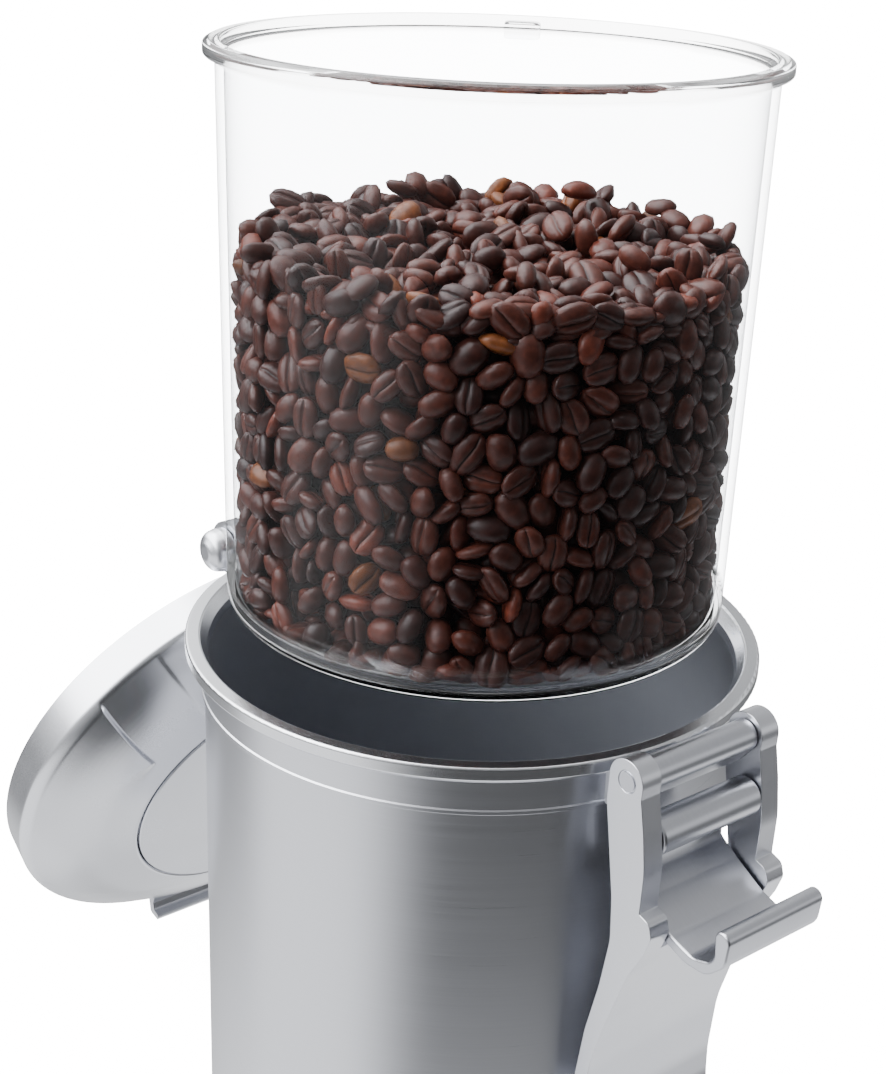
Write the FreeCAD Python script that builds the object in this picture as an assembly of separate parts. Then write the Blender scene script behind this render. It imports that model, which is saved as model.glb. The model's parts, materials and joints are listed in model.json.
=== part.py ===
"""Airtight coffee canister: metal can, swing-over clamp, hinged lid and a clear lift-out container.

Frame: millimetres, +Z up, origin on the ground at the centre of the foot.
The clamp faces -Y and the lid hinge is at +Y.  The container stands lifted out of the can and the
lid hangs open, which is the rest pose of every joint.
"""

import math
import os

import FreeCAD, Part

# ---- can ----
CAN_H = 182.0  # height of the rim's top face
BODY_R = 74.8
WALL = 0.8
SLEEVE_R = 73.3  # inside radius of the dark sleeve
SLEEVE_T = 0.6
RIM_R = 80.0
RIM_IN_R = 76.0
RIM_DEPTH = 4.4
COLLAR_R = 75.5
COLLAR_DEPTH = 15.5
PAD_R = 72.0
PAD_T = 1.6
BASE_T = 1.4
FLOOR_TOP = 20.6  # the raised floor that the container stands on
FLOOR_T = 2.2
RISER_R = 68.0
RISER_T = 2.0

# ---- clear container ----
CUP_H = 149.1
CUP_TOP_R = 69.8
CUP_LOW_R = 68.2
CUP_WALL = 2.2
CUP_BASE_T = 3.0
CUP_RIM_R = 72.75
CUP_RIM_H = 3.6
CUP_LIFT = 9.8  # the lifted container's underside, above the can's rim
TAB_W = 10.6
TAB_H = 5.0
TAB_T = 1.2
TAB_ANGLE = 44.0
HEAP_FRONT = 101.0
HEAP_BACK = 99.0
HEAP_GAP = 0.3

# ---- clamp, as distances in front of the can's axis and heights from the rim's top face ----
PIVOT_Y = 87.2
PIVOT_Z = -0.5
PIVOT_PIN_R = 2.5
BARREL_R = 4.1
BARREL_HALF = 17.2
ARM_IN = 17.6
ARM_OUT = 24.0
ARM_END_R = 5.8
HOOK_Y = 90.0
HOOK_Z = -16.5
HOOK_PIN_R = 2.0
HOOK_PIN_HALF = 21.0
HOOK_BARREL_R = 5.2
HOOK_HALF = 17.0
RUNNING = 0.05

# ---- lid, drawn closed and then swung open about its hinge ----
LID_R = 82.3
LID_BAND_R = 83.2
LID_LOW = -4.0
LID_CREASE = 9.2
LID_DISC_R = 48.3
LID_TOP = 25.8
LID_T = 1.6
LID_OPEN = 245.3
HINGE_Y = 93.3
HINGE_Z = -3.3
HINGE_PIN_R = 2.6
KNUCKLE_R = 5.6
KNUCKLE_HALF = 15.8
WASHER_R = 6.4
WASHER_T = 1.0
EAR_IN = 17.0
EAR_OUT = 22.5
EAR_R = 8.5
CAP_R = 6.9
CAP_LEN = 7.6
KEEPER_HALF = 17.2


def vec(x, y, z):
    return FreeCAD.Vector(x, y, z)


def outline(points, place):
    """A closed face through (u, v, radius) corners, each corner rounded by its radius."""
    count = len(points)
    ends = []
    edges = []
    for i in range(count):
        u, v, radius = points[i]
        here = vec(u, v, 0)
        before = vec(*points[i - 1][:2], 0) - here
        after = vec(*points[(i + 1) % count][:2], 0) - here
        if radius <= 0:
            ends.append((here, here, None))
            continue
        before_dir = vec(before.x, before.y, 0).normalize()
        after_dir = vec(after.x, after.y, 0).normalize()
        half = before_dir.getAngle(after_dir) / 2
        reach = radius / math.tan(half)
        reach = min(reach, 0.49 * before.Length, 0.49 * after.Length)
        radius = reach * math.tan(half)
        middle_dir = (before_dir + after_dir).normalize()
        middle = here + middle_dir * (radius / math.sin(half) - radius)
        ends.append((here + before_dir * reach, here + after_dir * reach, middle))
    for i in range(count):
        start, finish, middle = ends[i]
        if middle is not None:
            edges.append(Part.Arc(place(start), place(middle), place(finish)).toShape())
        following = ends[(i + 1) % count][0]
        if (following - finish).Length > 1e-6:
            edges.append(Part.LineSegment(place(finish), place(following)).toShape())
    return Part.Face(Part.Wire(edges))


def turned(points):
    """A solid of revolution about Z from (r, z, radius) corners."""
    face = outline(points, lambda p: vec(p.x, 0, p.y))
    return face.revolve(vec(0, 0, 0), vec(0, 0, 1), 360)


def plate(points, x0, x1, side=-1):
    """A side profile of (distance, height above the rim, radius) corners, run from x0 to x1."""
    face = outline(points, lambda p: vec(x0, side * p.x, CAN_H + p.y))
    return face.extrude(vec(x1 - x0, 0, 0))


def rod(radius, x0, x1, distance, height, side=-1):
    """A round bar along X, at a distance from the can's axis and a height above the rim."""
    return Part.makeCylinder(radius, x1 - x0, vec(x0, side * distance, CAN_H + height), vec(1, 0, 0))


def collar_space():
    """What the collar and the rim's lip take up, which a bracket on the collar is cut back from."""
    low = CAN_H - COLLAR_DEPTH
    return turned(
        [
            (0, low - 5.0, 0),
            (COLLAR_R, low - 5.0, 0),
            (COLLAR_R, low, 0),
            (COLLAR_R + 0.35, low, 0.25),
            (COLLAR_R + 0.35, low + 1.0, 0.25),
            (COLLAR_R, low + 1.4, 0),
            (COLLAR_R, CAN_H - 6.05, 0),
            (RIM_R + 0.1, CAN_H - 6.05, 0),
            (RIM_R + 0.1, CAN_H + 10.0, 0),
            (0, CAN_H + 10.0, 0),
        ]
    )


def opened(shape):
    """A lid piece swung from closed to its open rest pose."""
    turned_shape = shape.copy()
    turned_shape.rotate(vec(0, HINGE_Y, CAN_H + HINGE_Z), vec(-1, 0, 0), LID_OPEN)
    return turned_shape


def foot_pad():
    return turned([(0, 0, 0), (PAD_R, 0, 0.5), (PAD_R, PAD_T, 0), (0, PAD_T, 0)])


def can_base():
    top = PAD_T + BASE_T
    return turned([(0, PAD_T, 0), (BODY_R, PAD_T, 1.0), (BODY_R, top, 0), (0, top, 0)])


def floor_riser():
    """The raised inner floor: a disc on a short ring that stands on the base."""
    low = PAD_T + BASE_T
    inside = BODY_R - WALL - 0.05
    return turned(
        [
            (0, FLOOR_TOP - FLOOR_T, 0),
            (RISER_R - RISER_T, FLOOR_TOP - FLOOR_T, 0),
            (RISER_R - RISER_T, low, 0),
            (RISER_R, low, 0),
            (RISER_R, FLOOR_TOP - FLOOR_T, 0),
            (inside, FLOOR_TOP - FLOOR_T, 0),
            (inside, FLOOR_TOP, 0),
            (0, FLOOR_TOP, 0),
        ]
    )


def can_shell():
    low = PAD_T + BASE_T
    top = CAN_H - 6.0
    inside = BODY_R - WALL
    return turned([(inside, low, 0), (BODY_R, low, 0), (BODY_R, top, 0), (inside, top, 0)])


def inner_sleeve():
    low = FLOOR_TOP
    top = CAN_H - 6.0
    outer = SLEEVE_R + SLEEVE_T
    return turned([(SLEEVE_R, low, 0), (outer, low, 0), (outer, top, 0), (SLEEVE_R, top, 0)])


def neck_collar():
    """The band under the rim, with a small foot where it meets the wall."""
    low = CAN_H - COLLAR_DEPTH
    top = CAN_H - 6.0
    inside = BODY_R + 0.02
    return turned(
        [
            (inside, low, 0),
            (COLLAR_R + 0.35, low, 0.25),
            (COLLAR_R + 0.35, low + 1.0, 0.25),
            (COLLAR_R, low + 1.4, 0),
            (COLLAR_R, top, 0),
            (inside, top, 0),
        ]
    )


def rim_ring():
    """The rolled mouth ring: a flat lip that overhangs the collar and a throat that leads in."""
    top = CAN_H
    return turned(
        [
            (SLEEVE_R, top - 6.0, 0),
            (COLLAR_R + 0.2, top - 6.0, 0),
            (76.4, top - 5.2, 1.2),
            (RIM_R - 1.0, top - RIM_DEPTH, 0.6),
            (RIM_R, top - RIM_DEPTH + 1.0, 0.6),
            (RIM_R, top, 0.8),
            (RIM_IN_R, top, 0.7),
            (SLEEVE_R + 0.5, top - 3.4, 1.0),
            (SLEEVE_R, top - 5.0, 0.4),
        ]
    )


def clamp_bracket():
    """The pad on the collar and the web that carries the upper barrel."""
    web = plate(
        [
            (70.0, -15.0, 0),
            (78.2, -15.0, 1.0),
            (79.0, -10.5, 2.0),
            (86.0, -8.6, 2.0),
            (90.4, -3.0, 0),
            (88.5, -1.0, 0),
            (84.0, -4.6, 0),
            (70.0, -4.8, 0),
        ],
        -BARREL_HALF,
        BARREL_HALF,
    )
    web = web.cut(rod(BARREL_R + 0.01, -30, 30, PIVOT_Y, PIVOT_Z))
    return web.cut(collar_space())


def bracket_barrel():
    barrel = rod(BARREL_R, -BARREL_HALF, BARREL_HALF, PIVOT_Y, PIVOT_Z)
    return barrel.cut(rod(PIVOT_PIN_R + RUNNING, -30, 30, PIVOT_Y, PIVOT_Z))


def lever_profile():
    """The lever seen from the side: arms at the top, a shoulder, then the handle."""
    return [
        (81.5, 5.2, 5.6),
        (92.9, 5.2, 5.6),
        (92.3, -3.4, 3.0),
        (94.0, -12.0, 14),
        (95.3, -22.0, 30),
        (94.9, -33.6, 0.4),
        (98.4, -34.7, 2.3),
        (99.5, -38.3, 2.9),
        (97.5, -43.9, 5.0),
        (92.8, -53.0, 30),
        (86.6, -71.0, 40),
        (82.4, -86.0, 40),
        (81.0, -103.0, 40),
        (81.4, -114.0, 30),
        (84.6, -124.0, 1.4),
        (82.3, -125.0, 1.4),
        (77.6, -114.0, 20),
        (76.4, -99.0, 30),
        (79.6, -77.0, 40),
        (83.4, -61.0, 40),
        (85.9, -46.0, 20),
        (85.2, -34.0, 30),
        (82.6, -18.0, 30),
        (80.9, -8.0, 12),
    ]


def lever():
    body = plate(lever_profile(), -ARM_OUT, ARM_OUT)
    window = plate(
        [(60, -42.8, 0), (95.5, -42.8, 1.0), (98.4, -45.6, 1.0), (112, -45.8, 0), (112, 20, 0), (60, 20, 0)],
        -ARM_IN,
        ARM_IN,
    )
    body = body.cut(window)
    body = body.cut(rod(PIVOT_PIN_R + 0.01, -30, 30, PIVOT_Y, PIVOT_Z))
    body = body.cut(rod(HOOK_PIN_R + 0.01, -HOOK_PIN_HALF - 0.2, HOOK_PIN_HALF + 0.2, HOOK_Y, HOOK_Z))
    return body.makeFillet(0.7, rim_edges(body))


def rim_edges(body):
    """The lever's outer edges: those that lie wholly on either flank."""
    chosen = []
    for edge in body.Edges:
        box = edge.BoundBox
        flank = abs(abs(box.XMin) - ARM_OUT) < 1e-3 and box.XLength < 1e-3
        hole = edge.Length < 2.2 * math.pi * PIVOT_PIN_R and hasattr(edge.Curve, "Radius") and edge.Curve.Radius < 3
        if flank and not hole:
            chosen.append(edge)
    return chosen


def lever_pin():
    return rod(PIVOT_PIN_R, -ARM_OUT - 0.1, ARM_OUT + 0.1, PIVOT_Y, PIVOT_Z)


def hook_pin():
    return rod(HOOK_PIN_R, -HOOK_PIN_HALF, HOOK_PIN_HALF, HOOK_Y, HOOK_Z)


def hook_barrel():
    barrel = rod(HOOK_BARREL_R, -HOOK_HALF - 0.2, HOOK_HALF + 0.2, HOOK_Y, HOOK_Z)
    ends = [e for e in barrel.Edges if e.BoundBox.XLength < 1e-3]
    barrel = barrel.makeFillet(0.8, ends)
    return barrel.cut(rod(HOOK_PIN_R + RUNNING, -30, 30, HOOK_Y, HOOK_Z))


def hook_plate():
    """The pull plate: full width, bellied back under the barrel, ending in a rolled lip for the lid."""
    blade = plate(
        [
            (88.0, -18.6, 0),
            (83.6, -22.6, 6.0),
            (82.0, -30.2, 5.0),
            (89.5, -35.0, 12.0),
            (99.2, -40.2, 8.0),
            (106.8, -42.2, 5.0),
            (113.6, -39.9, 3.6),
            (113.0, -30.6, 2.0),
            (118.0, -30.2, 2.4),
            (117.0, -39.4, 5.5),
            (111.4, -44.9, 6.5),
            (104.4, -45.1, 8.0),
            (97.4, -42.8, 9.0),
            (88.2, -37.8, 14.0),
            (79.2, -32.2, 7.5),
            (81.0, -20.6, 8.0),
            (86.6, -13.6, 0),
        ],
        -HOOK_HALF,
        HOOK_HALF,
    )
    return blade.cut(rod(HOOK_BARREL_R + 0.01, -30, 30, HOOK_Y, HOOK_Z))


def hinge_bracket():
    """Two rounded ears on a curved pad, fixed to the collar behind the can."""
    ears = []
    for x0, x1 in ((-EAR_OUT, -EAR_IN), (EAR_IN, EAR_OUT)):
        disc = rod(EAR_R, x0, x1, HINGE_Y, HINGE_Z, 1)
        arm = plate(
            [
                (70.0, -15.0, 0),
                (86.0, -14.0, 5.0),
                (93.3, -11.8, 0),
                (93.3, 5.2, 0),
                (86.0, 1.0, 2.0),
                (81.4, -4.9, 1.5),
                (70.0, -4.9, 0),
            ],
            x0,
            x1,
            1,
        )
        ears.append(disc.fuse(arm))
    pad = plate(
        [(70.0, -15.0, 0), (77.6, -15.0, 0.8), (78.4, -6.4, 0.8), (70.0, -6.4, 0)],
        -EAR_OUT,
        EAR_OUT,
        1,
    )
    body = pad.fuse(ears[0]).fuse(ears[1])
    body = body.cut(collar_space())
    body = body.cut(rod(HINGE_PIN_R + RUNNING, -40, 40, HINGE_Y, HINGE_Z, 1))
    return body.removeSplitter()


def hinge_pin():
    return rod(HINGE_PIN_R, -EAR_OUT - 2.0, EAR_OUT + 2.0, HINGE_Y, HINGE_Z, 1)


def pin_caps():
    """A domed cap on each end of the hinge pin."""
    caps = []
    start = EAR_OUT + 0.3
    for sign in (-1, 1):
        face = outline(
            [(0, 0, 0), (CAP_R, 0, 0.6), (CAP_R, 2.6, 0.1), (CAP_R * 0.9, CAP_LEN * 0.76, 4.5), (2.6, CAP_LEN, 3.0), (0, CAP_LEN, 0)],
            lambda p: vec(sign * (start + p.y), HINGE_Y + p.x, CAN_H + HINGE_Z),
        )
        cap = face.revolve(vec(0, HINGE_Y, CAN_H + HINGE_Z), vec(1, 0, 0), 360)
        inner = rod(HINGE_PIN_R + 0.01, -EAR_OUT - 2.0, EAR_OUT + 2.0, HINGE_Y, HINGE_Z, 1)
        caps.append(cap.cut(inner))
    return Part.makeCompound(caps)


def hinge_washers():
    """A thin washer between each ear and the lid's knuckle."""
    washers = []
    for sign in (-1, 1):
        x0 = KNUCKLE_HALF + 0.1 if sign > 0 else -KNUCKLE_HALF - 0.1 - WASHER_T
        washer = rod(WASHER_R, x0, x0 + WASHER_T, HINGE_Y, HINGE_Z, 1)
        washers.append(washer.cut(rod(HINGE_PIN_R + 0.01, -30, 30, HINGE_Y, HINGE_Z, 1)))
    return Part.makeCompound(washers)


def lid_shell():
    """The pressed lid: a skirt that covers the rim, a shoulder, a sloping crown and a flat seat."""
    low = CAN_H + LID_LOW
    crease = CAN_H + LID_CREASE
    top = CAN_H + LID_TOP
    t = LID_T
    return turned(
        [
            (LID_R - t, low, 0.3),
            (LID_R, low, 0.5),
            (LID_BAND_R, crease, 3.0),
            (68.0, crease + 10.6, 60),
            (LID_DISC_R + 0.4, top, 2.0),
            (LID_DISC_R + 0.4, top - t, 0),
            (LID_DISC_R, top - 1.2 * t, 0),
            (67.0, crease + 10.6 - 1.2 * t, 60),
            (LID_BAND_R - t, crease - 0.8, 2.0),
        ]
    )


def lid_disc():
    top = CAN_H + LID_TOP
    return turned([(0, top - 1.5, 0), (LID_DISC_R, top - 1.5, 0), (LID_DISC_R, top - 0.1, 0.5), (0, top - 0.1, 0)])


def lid_inner_plate():
    low = CAN_H + 2.2
    radius = LID_R - LID_T - 0.05
    return turned([(0, low, 0), (radius, low, 0), (radius, low + 2.0, 0), (0, low + 2.0, 0)])


def lid_plug():
    """The moulded plug under the lid that holds the gasket centred in the mouth."""
    low = CAN_H - 2.0
    top = CAN_H + 2.2
    return turned([(62.0, low, 0.6), (72.6, low, 1.0), (72.6, top, 0), (62.0, top, 0)])


def lid_gasket():
    low = CAN_H + 0.3
    top = CAN_H + 2.2
    return turned([(73.0, top, 0), (73.0, low + 0.4, 0.4), (75.0, low, 0.8), (79.6, low, 0.6), (80.2, top, 0)])


def skirt_space():
    """What the lid's skirt encloses, which the knuckle and the keeper are cut back from."""
    gap = 0.02
    return turned(
        [
            (0, CAN_H - 20.0, 0),
            (LID_R + gap, CAN_H - 20.0, 0),
            (LID_R + gap, CAN_H + LID_LOW, 0),
            (LID_BAND_R + gap, CAN_H + LID_CREASE, 0),
            (LID_BAND_R + gap, CAN_H + 30.0, 0),
            (0, CAN_H + 30.0, 0),
        ]
    )


def lid_knuckle():
    """The hinge lug on the lid's skirt, with the barrel that turns on the pin."""
    lug = plate(
        [
            (70.0, -3.2, 0),
            (88.0, -6.2, 2.0),
            (93.3, -8.9, 0),
            (93.3, 2.3, 0),
            (88.6, 3.6, 3.0),
            (86.0, 7.6, 1.4),
            (70.0, 7.6, 0),
        ],
        -KNUCKLE_HALF,
        KNUCKLE_HALF,
        1,
    )
    barrel = rod(KNUCKLE_R, -KNUCKLE_HALF, KNUCKLE_HALF, HINGE_Y, HINGE_Z, 1)
    body = lug.cut(skirt_space()).fuse(barrel)
    body = body.cut(rod(HINGE_PIN_R + RUNNING, -40, 40, HINGE_Y, HINGE_Z, 1))
    return body.removeSplitter()


def lid_keeper():
    """The catch on the lid's front: a flange from the shoulder and a raised lip for the hook."""
    body = plate(
        [
            (76.0, 3.2, 0),
            (84.6, 4.6, 1.0),
            (91.2, 9.0, 1.6),
            (89.9, 14.4, 0.8),
            (87.9, 13.9, 0.8),
            (88.3, 10.6, 1.0),
            (85.8, 8.9, 0.6),
            (76.0, 8.4, 0),
        ],
        -KEEPER_HALF,
        KEEPER_HALF,
    )
    return body.cut(skirt_space())


def container_cup():
    """The clear container: a slightly tapered wall, a rounded foot, a flanged rim and a thumb tab."""
    low = CAN_H + CUP_LIFT
    top = low + CUP_H
    w = CUP_WALL
    cup = turned(
        [
            (0, low + 0.6, 0),
            (CUP_LOW_R - 9.0, low + 0.6, 0),
            (CUP_LOW_R - 9.6, low, 0),
            (CUP_LOW_R, low, 5.0),
            (CUP_TOP_R, top - CUP_RIM_H, 0),
            (CUP_RIM_R, top - CUP_RIM_H, 0.7),
            (CUP_RIM_R, top - 0.8, 0.8),
            (CUP_RIM_R - 1.6, top, 0.8),
            (CUP_TOP_R - w + 1.0, top, 0.8),
            (CUP_TOP_R - w, top - 2.4, 0.8),
            (CUP_LOW_R - w, low + CUP_BASE_T, 3.5),
            (0, low + CUP_BASE_T, 0),
        ]
    )
    inner = CUP_TOP_R - w
    tab = Part.makeBox(TAB_T + 1.0, TAB_W, TAB_H, vec(inner - TAB_T, -TAB_W / 2, top - TAB_H - 1.0))
    tab.rotate(vec(0, 0, 0), vec(0, 0, 1), TAB_ANGLE)
    return cup.fuse(tab)


def bean_fill():
    """The bean heap's outer shape: the container's inside, up to a surface that slopes to the front."""
    low = CAN_H + CUP_LIFT + CUP_BASE_T + HEAP_GAP
    foot = CUP_LOW_R - CUP_WALL - HEAP_GAP
    slope = (CUP_TOP_R - CUP_LOW_R) / CUP_H
    head = foot + slope * 125.0
    body = turned([(0, low, 0), (foot, low, 3.6), (head, low + 125.0, 0), (0, low + 125.0, 0)])
    base = CAN_H + CUP_LIFT
    wedge = Part.Face(
        Part.makePolygon(
            [
                vec(-90, -70, base + HEAP_FRONT),
                vec(-90, 70, base + HEAP_BACK),
                vec(-90, 70, base + 190),
                vec(-90, -70, base + 190),
                vec(-90, -70, base + HEAP_FRONT),
            ]
        )
    ).extrude(vec(180, 0, 0))
    return body.cut(wedge)


CAN_NODES = {
    "foot_pad": foot_pad,
    "can_base": can_base,
    "floor_riser": floor_riser,
    "can_shell": can_shell,
    "inner_sleeve": inner_sleeve,
    "neck_collar": neck_collar,
    "rim_ring": rim_ring,
    "clamp_bracket": clamp_bracket,
    "bracket_barrel": bracket_barrel,
    "hinge_bracket": hinge_bracket,
    "lever": lever,
    "lever_pin": lever_pin,
    "hook_pin": hook_pin,
    "hook_barrel": hook_barrel,
    "hook_plate": hook_plate,
    "hinge_pin": hinge_pin,
    "pin_caps": pin_caps,
    "hinge_washers": hinge_washers,
    "container_cup": container_cup,
    "bean_fill": bean_fill,
}

LID_NODES = {
    "lid_shell": lid_shell,
    "lid_disc": lid_disc,
    "lid_inner_plate": lid_inner_plate,
    "lid_plug": lid_plug,
    "lid_gasket": lid_gasket,
    "lid_knuckle": lid_knuckle,
    "lid_keeper": lid_keeper,
}


def main():
    os.makedirs("parts", exist_ok=True)
    for name, make in CAN_NODES.items():
        make().exportStep(f"parts/{name}.step")
    for name, make in LID_NODES.items():
        opened(make()).exportStep(f"parts/{name}.step")


main()
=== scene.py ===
"""Airtight coffee canister: finishes, clear container, loose beans, studio and camera around the frame."""

import json
import math

import bmesh
import bpy
import numpy as np
from mathutils import Matrix, Vector


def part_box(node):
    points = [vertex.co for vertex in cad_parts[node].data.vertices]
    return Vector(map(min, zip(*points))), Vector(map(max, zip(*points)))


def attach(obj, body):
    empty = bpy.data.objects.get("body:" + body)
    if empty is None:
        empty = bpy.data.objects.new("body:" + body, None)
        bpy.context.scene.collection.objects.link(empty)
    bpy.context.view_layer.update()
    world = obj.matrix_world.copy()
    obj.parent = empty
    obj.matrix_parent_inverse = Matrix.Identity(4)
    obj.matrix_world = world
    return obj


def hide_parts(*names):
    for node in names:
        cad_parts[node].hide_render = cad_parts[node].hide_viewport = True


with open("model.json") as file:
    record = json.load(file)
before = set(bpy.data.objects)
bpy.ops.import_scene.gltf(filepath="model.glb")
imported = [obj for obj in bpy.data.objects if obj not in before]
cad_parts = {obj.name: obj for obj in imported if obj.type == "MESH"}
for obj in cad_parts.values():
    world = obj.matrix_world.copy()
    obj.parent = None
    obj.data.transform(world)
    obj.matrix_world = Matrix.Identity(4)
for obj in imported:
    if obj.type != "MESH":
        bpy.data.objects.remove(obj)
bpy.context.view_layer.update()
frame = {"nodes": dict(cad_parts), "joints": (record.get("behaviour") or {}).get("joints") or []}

bl_info = {
    "name": "Coffee Canister Studio",
    "version": (1, 0, 0),
    "blender": (4, 5, 0),
    "location": "View3D > Sidebar > Canister",
    "description": "Finishes a lever-clamp coffee canister and fills its container with beans",
    "category": "Object",
}

MM = 0.001
SEED = 7
PAPER_GLOW = 17.0
FLOOR_GLOW = 15.0
CAM_TURN = math.radians(-40.5)

RIM_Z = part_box("rim_ring")[1].z
CUP_LOW, CUP_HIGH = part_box("container_cup")
JOINTS = {joint["name"]: joint for joint in frame["joints"]}
HINGE = JOINTS["lid_turn"]
LID_SWING = math.radians(HINGE["range_deg"][1] + JOINTS["hinge_pin_turn"]["range_deg"][1])


# ---- shader graph ----


class Signal:
    """A socket that can be added to, scaled and compared in plain expressions."""

    def __init__(self, graph, socket):
        self.graph = graph
        self.socket = socket

    def _math(self, operation, *values):
        return self.graph.add("ShaderNodeMath", {"operation": operation}, dict(enumerate(values)))

    def __add__(self, other):
        return self._math("ADD", self, other)

    def __sub__(self, other):
        return self._math("SUBTRACT", self, other)

    def __rsub__(self, other):
        return self._math("SUBTRACT", other, self)

    def __mul__(self, other):
        return self._math("MULTIPLY", self, other)

    def __truediv__(self, other):
        return self._math("DIVIDE", self, other)

    def __pow__(self, other):
        return self._math("POWER", self, other)

    __radd__ = __add__
    __rmul__ = __mul__

    def step(self, low, high):
        """0 below low and 1 above high, with a smooth rise between; high may be the smaller."""
        return self.graph.add(
            "ShaderNodeMapRange",
            {"interpolation_type": "SMOOTHSTEP"},
            {"Value": self, "From Min": low, "From Max": high},
        )


class Graph:
    """The node tree of a material or the world, built from sockets and values."""

    def __init__(self, owner):
        owner.use_nodes = True
        self.tree = owner.node_tree
        self.tree.nodes.clear()

    def add(self, kind, settings=None, sockets=None, out=0):
        """A node of a kind, its settings first and then its sockets; returns one of its outputs."""
        node = self.tree.nodes.new(kind)
        for key, value in (settings or {}).items():
            if key == "stops":
                ramp = node.color_ramp
                while len(ramp.elements) < len(value):
                    ramp.elements.new(0.5)
                for element, (place, colour) in zip(ramp.elements, value):
                    element.position = place
                    element.color = colour
            else:
                setattr(node, key, value)
        for key, value in (sockets or {}).items():
            socket = node.inputs[key]
            if isinstance(value, Signal):
                self.tree.links.new(value.socket, socket)
            else:
                socket.default_value = value
        return Signal(self, node.outputs[out])

    def place(self):
        """The point in the piece's own coordinates, in metres."""
        return self.add("ShaderNodeTexCoord", out=3)

    def parts(self, vector):
        """A vector's x, y and z."""
        node = self.add("ShaderNodeSeparateXYZ", None, {0: vector}).socket.node
        return [Signal(self, s) for s in node.outputs]

    def join(self, x, y, z):
        return self.add("ShaderNodeCombineXYZ", None, {0: x, 1: y, 2: z})

    def scaled(self, vector, scale):
        return self.add("ShaderNodeMapping", None, {"Vector": vector, "Scale": scale})

    def noise(self, vector, scale, detail=3.0, rough=0.55):
        return self.add(
            "ShaderNodeTexNoise",
            None,
            {"Vector": vector, "Scale": scale, "Detail": detail, "Roughness": rough},
        )

    def mix(self, factor, first, second, blend="MIX"):
        """Two colours blended by a factor."""
        settings = {"data_type": "RGBA", "blend_type": blend}
        return self.add("ShaderNodeMix", settings, {0: factor, 6: first, 7: second}, out=2)

    def bump(self, height, strength, distance):
        return self.add(
            "ShaderNodeBump", None, {"Height": height, "Strength": strength, "Distance": distance}
        )

    def finish(self, shader, kind="ShaderNodeOutputMaterial"):
        """Join the last shader to the output."""
        node = self.tree.nodes.new(kind)
        self.tree.links.new(shader.socket, node.inputs["Surface"])


def rgb(colour):
    """A colour with full opacity."""
    return (colour[0], colour[1], colour[2], 1.0)


def principled(name, varying, fixed):
    """A material with one Principled shader: varying(graph) gives linked sockets, fixed gives values."""
    material = bpy.data.materials.new(name)
    graph = Graph(material)
    sockets = dict(fixed)
    sockets.update(varying(graph))
    graph.finish(graph.add("ShaderNodeBsdfPrincipled", None, sockets))
    return material


def turned_coordinates(graph):
    """Object coordinates unrolled about the Z axis: arc angle, radius and height."""
    x, y, z = graph.parts(graph.place())
    angle = graph.add("ShaderNodeMath", {"operation": "ARCTAN2"}, {0: y, 1: x})
    radius = (x * x + y * y) ** 0.5
    return angle, radius, z


def brushed_round(name, colour, rough, spread, depth):
    """Satin metal brushed round the can: fine rings of changing height and roughness."""

    def varying(graph):
        angle, radius, z = turned_coordinates(graph)
        grain = graph.noise(graph.join(angle * 0.35, radius * 40.0, z * 900.0), 3.0, 4.0, 0.6)
        cloud = graph.noise(graph.place(), 9.0, 2.0)
        tone = graph.mix(grain, rgb([c * 0.94 for c in colour]), rgb([min(1.0, c * 1.05) for c in colour]))
        roughness = rough + (grain - 0.5) * spread + (cloud - 0.5) * 0.05
        return {
            "Base Color": tone,
            "Roughness": roughness,
            "Normal": graph.bump(grain, 0.12, depth),
        }

    return principled(name, varying, {"Metallic": 1.0})


def cast_satin(name, colour, rough):
    """Fine bead-blasted casting: a tight grain in the height and soft clouds in the roughness."""

    def varying(graph):
        place = graph.place()
        grain = graph.noise(place, 2600.0, 2.0)
        cloud = graph.noise(place, 60.0, 3.0)
        tone = graph.mix(cloud, rgb([c * 0.95 for c in colour]), rgb([min(1.0, c * 1.04) for c in colour]))
        return {
            "Base Color": tone,
            "Roughness": rough + (cloud - 0.5) * 0.08 + (grain - 0.5) * 0.05,
            "Normal": graph.bump(grain, 0.06, 0.00008),
        }

    return principled(name, varying, {"Metallic": 1.0})


def brushed_along(name, colour, rough, stretch):
    """Satin bar or strip: grain drawn out along one axis."""

    def varying(graph):
        grain = graph.noise(graph.scaled(graph.place(), stretch), 1.0, 4.0, 0.6)
        cloud = graph.noise(graph.place(), 70.0, 2.0)
        tone = graph.mix(grain, rgb([c * 0.93 for c in colour]), rgb([min(1.0, c * 1.06) for c in colour]))
        return {
            "Base Color": tone,
            "Roughness": rough + (grain - 0.5) * 0.06 + (cloud - 0.5) * 0.05,
            "Normal": graph.bump(grain, 0.04, 0.00003),
        }

    return principled(name, varying, {"Metallic": 1.0})


def moulded(name, colour, rough, grain_scale=1800.0, strength=0.08):
    """Matte moulded plastic or rubber: a fine even texture and faint cloudy gloss."""

    def varying(graph):
        place = graph.place()
        grain = graph.noise(place, grain_scale, 2.0)
        cloud = graph.noise(place, 35.0, 3.0)
        tone = graph.mix(cloud, rgb([c * 0.88 for c in colour]), rgb([min(1.0, c * 1.12) for c in colour]))
        return {
            "Base Color": tone,
            "Roughness": rough + (cloud - 0.5) * 0.10,
            "Normal": graph.bump(grain, strength, 0.0001),
        }

    return principled(name, varying, {"Metallic": 0.0})


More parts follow.
